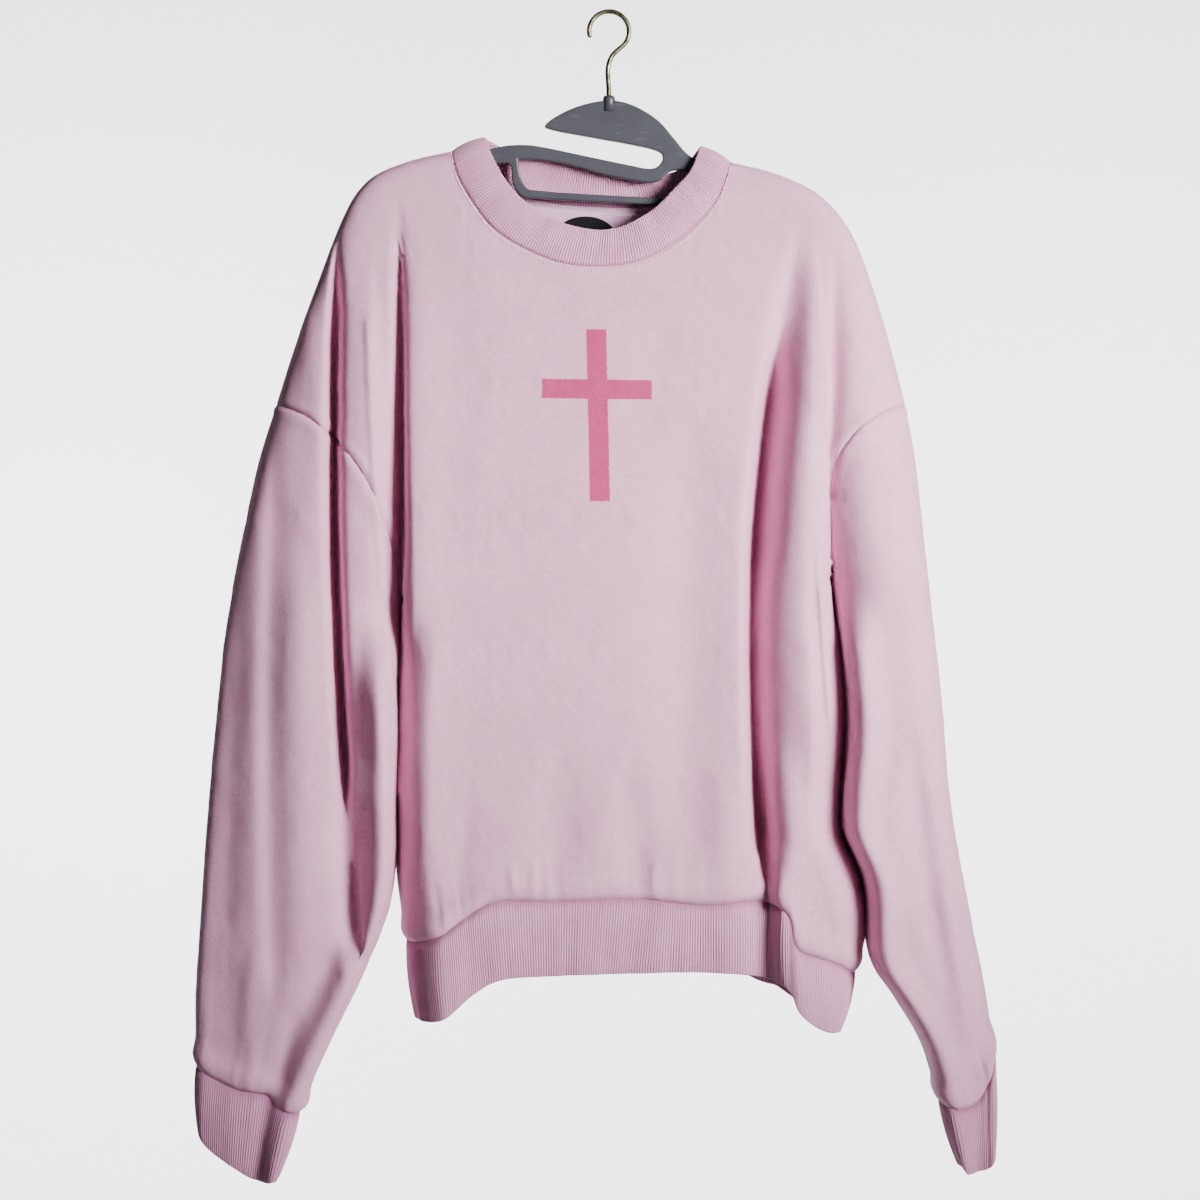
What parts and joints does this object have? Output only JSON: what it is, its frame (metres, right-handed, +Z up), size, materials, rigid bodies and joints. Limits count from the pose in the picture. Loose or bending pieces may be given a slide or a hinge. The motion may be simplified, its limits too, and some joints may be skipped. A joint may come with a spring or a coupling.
{
  "type": "crewneck sweatshirt on hanger",
  "caption": "Oversized crewneck sweatshirt with drop shoulders and rib bands, hanging on a plastic hanger with a wire hook.",
  "frame": {"origin": "underside of the crown of the hanger's hook, where a rail or peg carries it", "axes": "+Z up, the front of the sweatshirt faces -Y, +X to the right of someone who looks at the front"},
  "size_m": [0.6402, 0.1299, 0.9355],
  "materials": {
    "fleece": "light pink fleece-backed jersey, matt with a soft nap",
    "rib_knit": "light pink rib knit, matt",
    "hanger_plastic": "grey plastic, half gloss",
    "hook_wire": "dull plated steel wire"
  },
  "bodies": {
    "root": {"front": "fleece", "back": "fleece", "sleeve_left": "fleece", "sleeve_right": "fleece", "collar": "rib_knit", "hem_rib": "rib_knit", "cuff_left": "rib_knit", "cuff_right": "rib_knit", "hanger": "hanger_plastic", "hook": "hook_wire"}
  },
  "joints": []
}
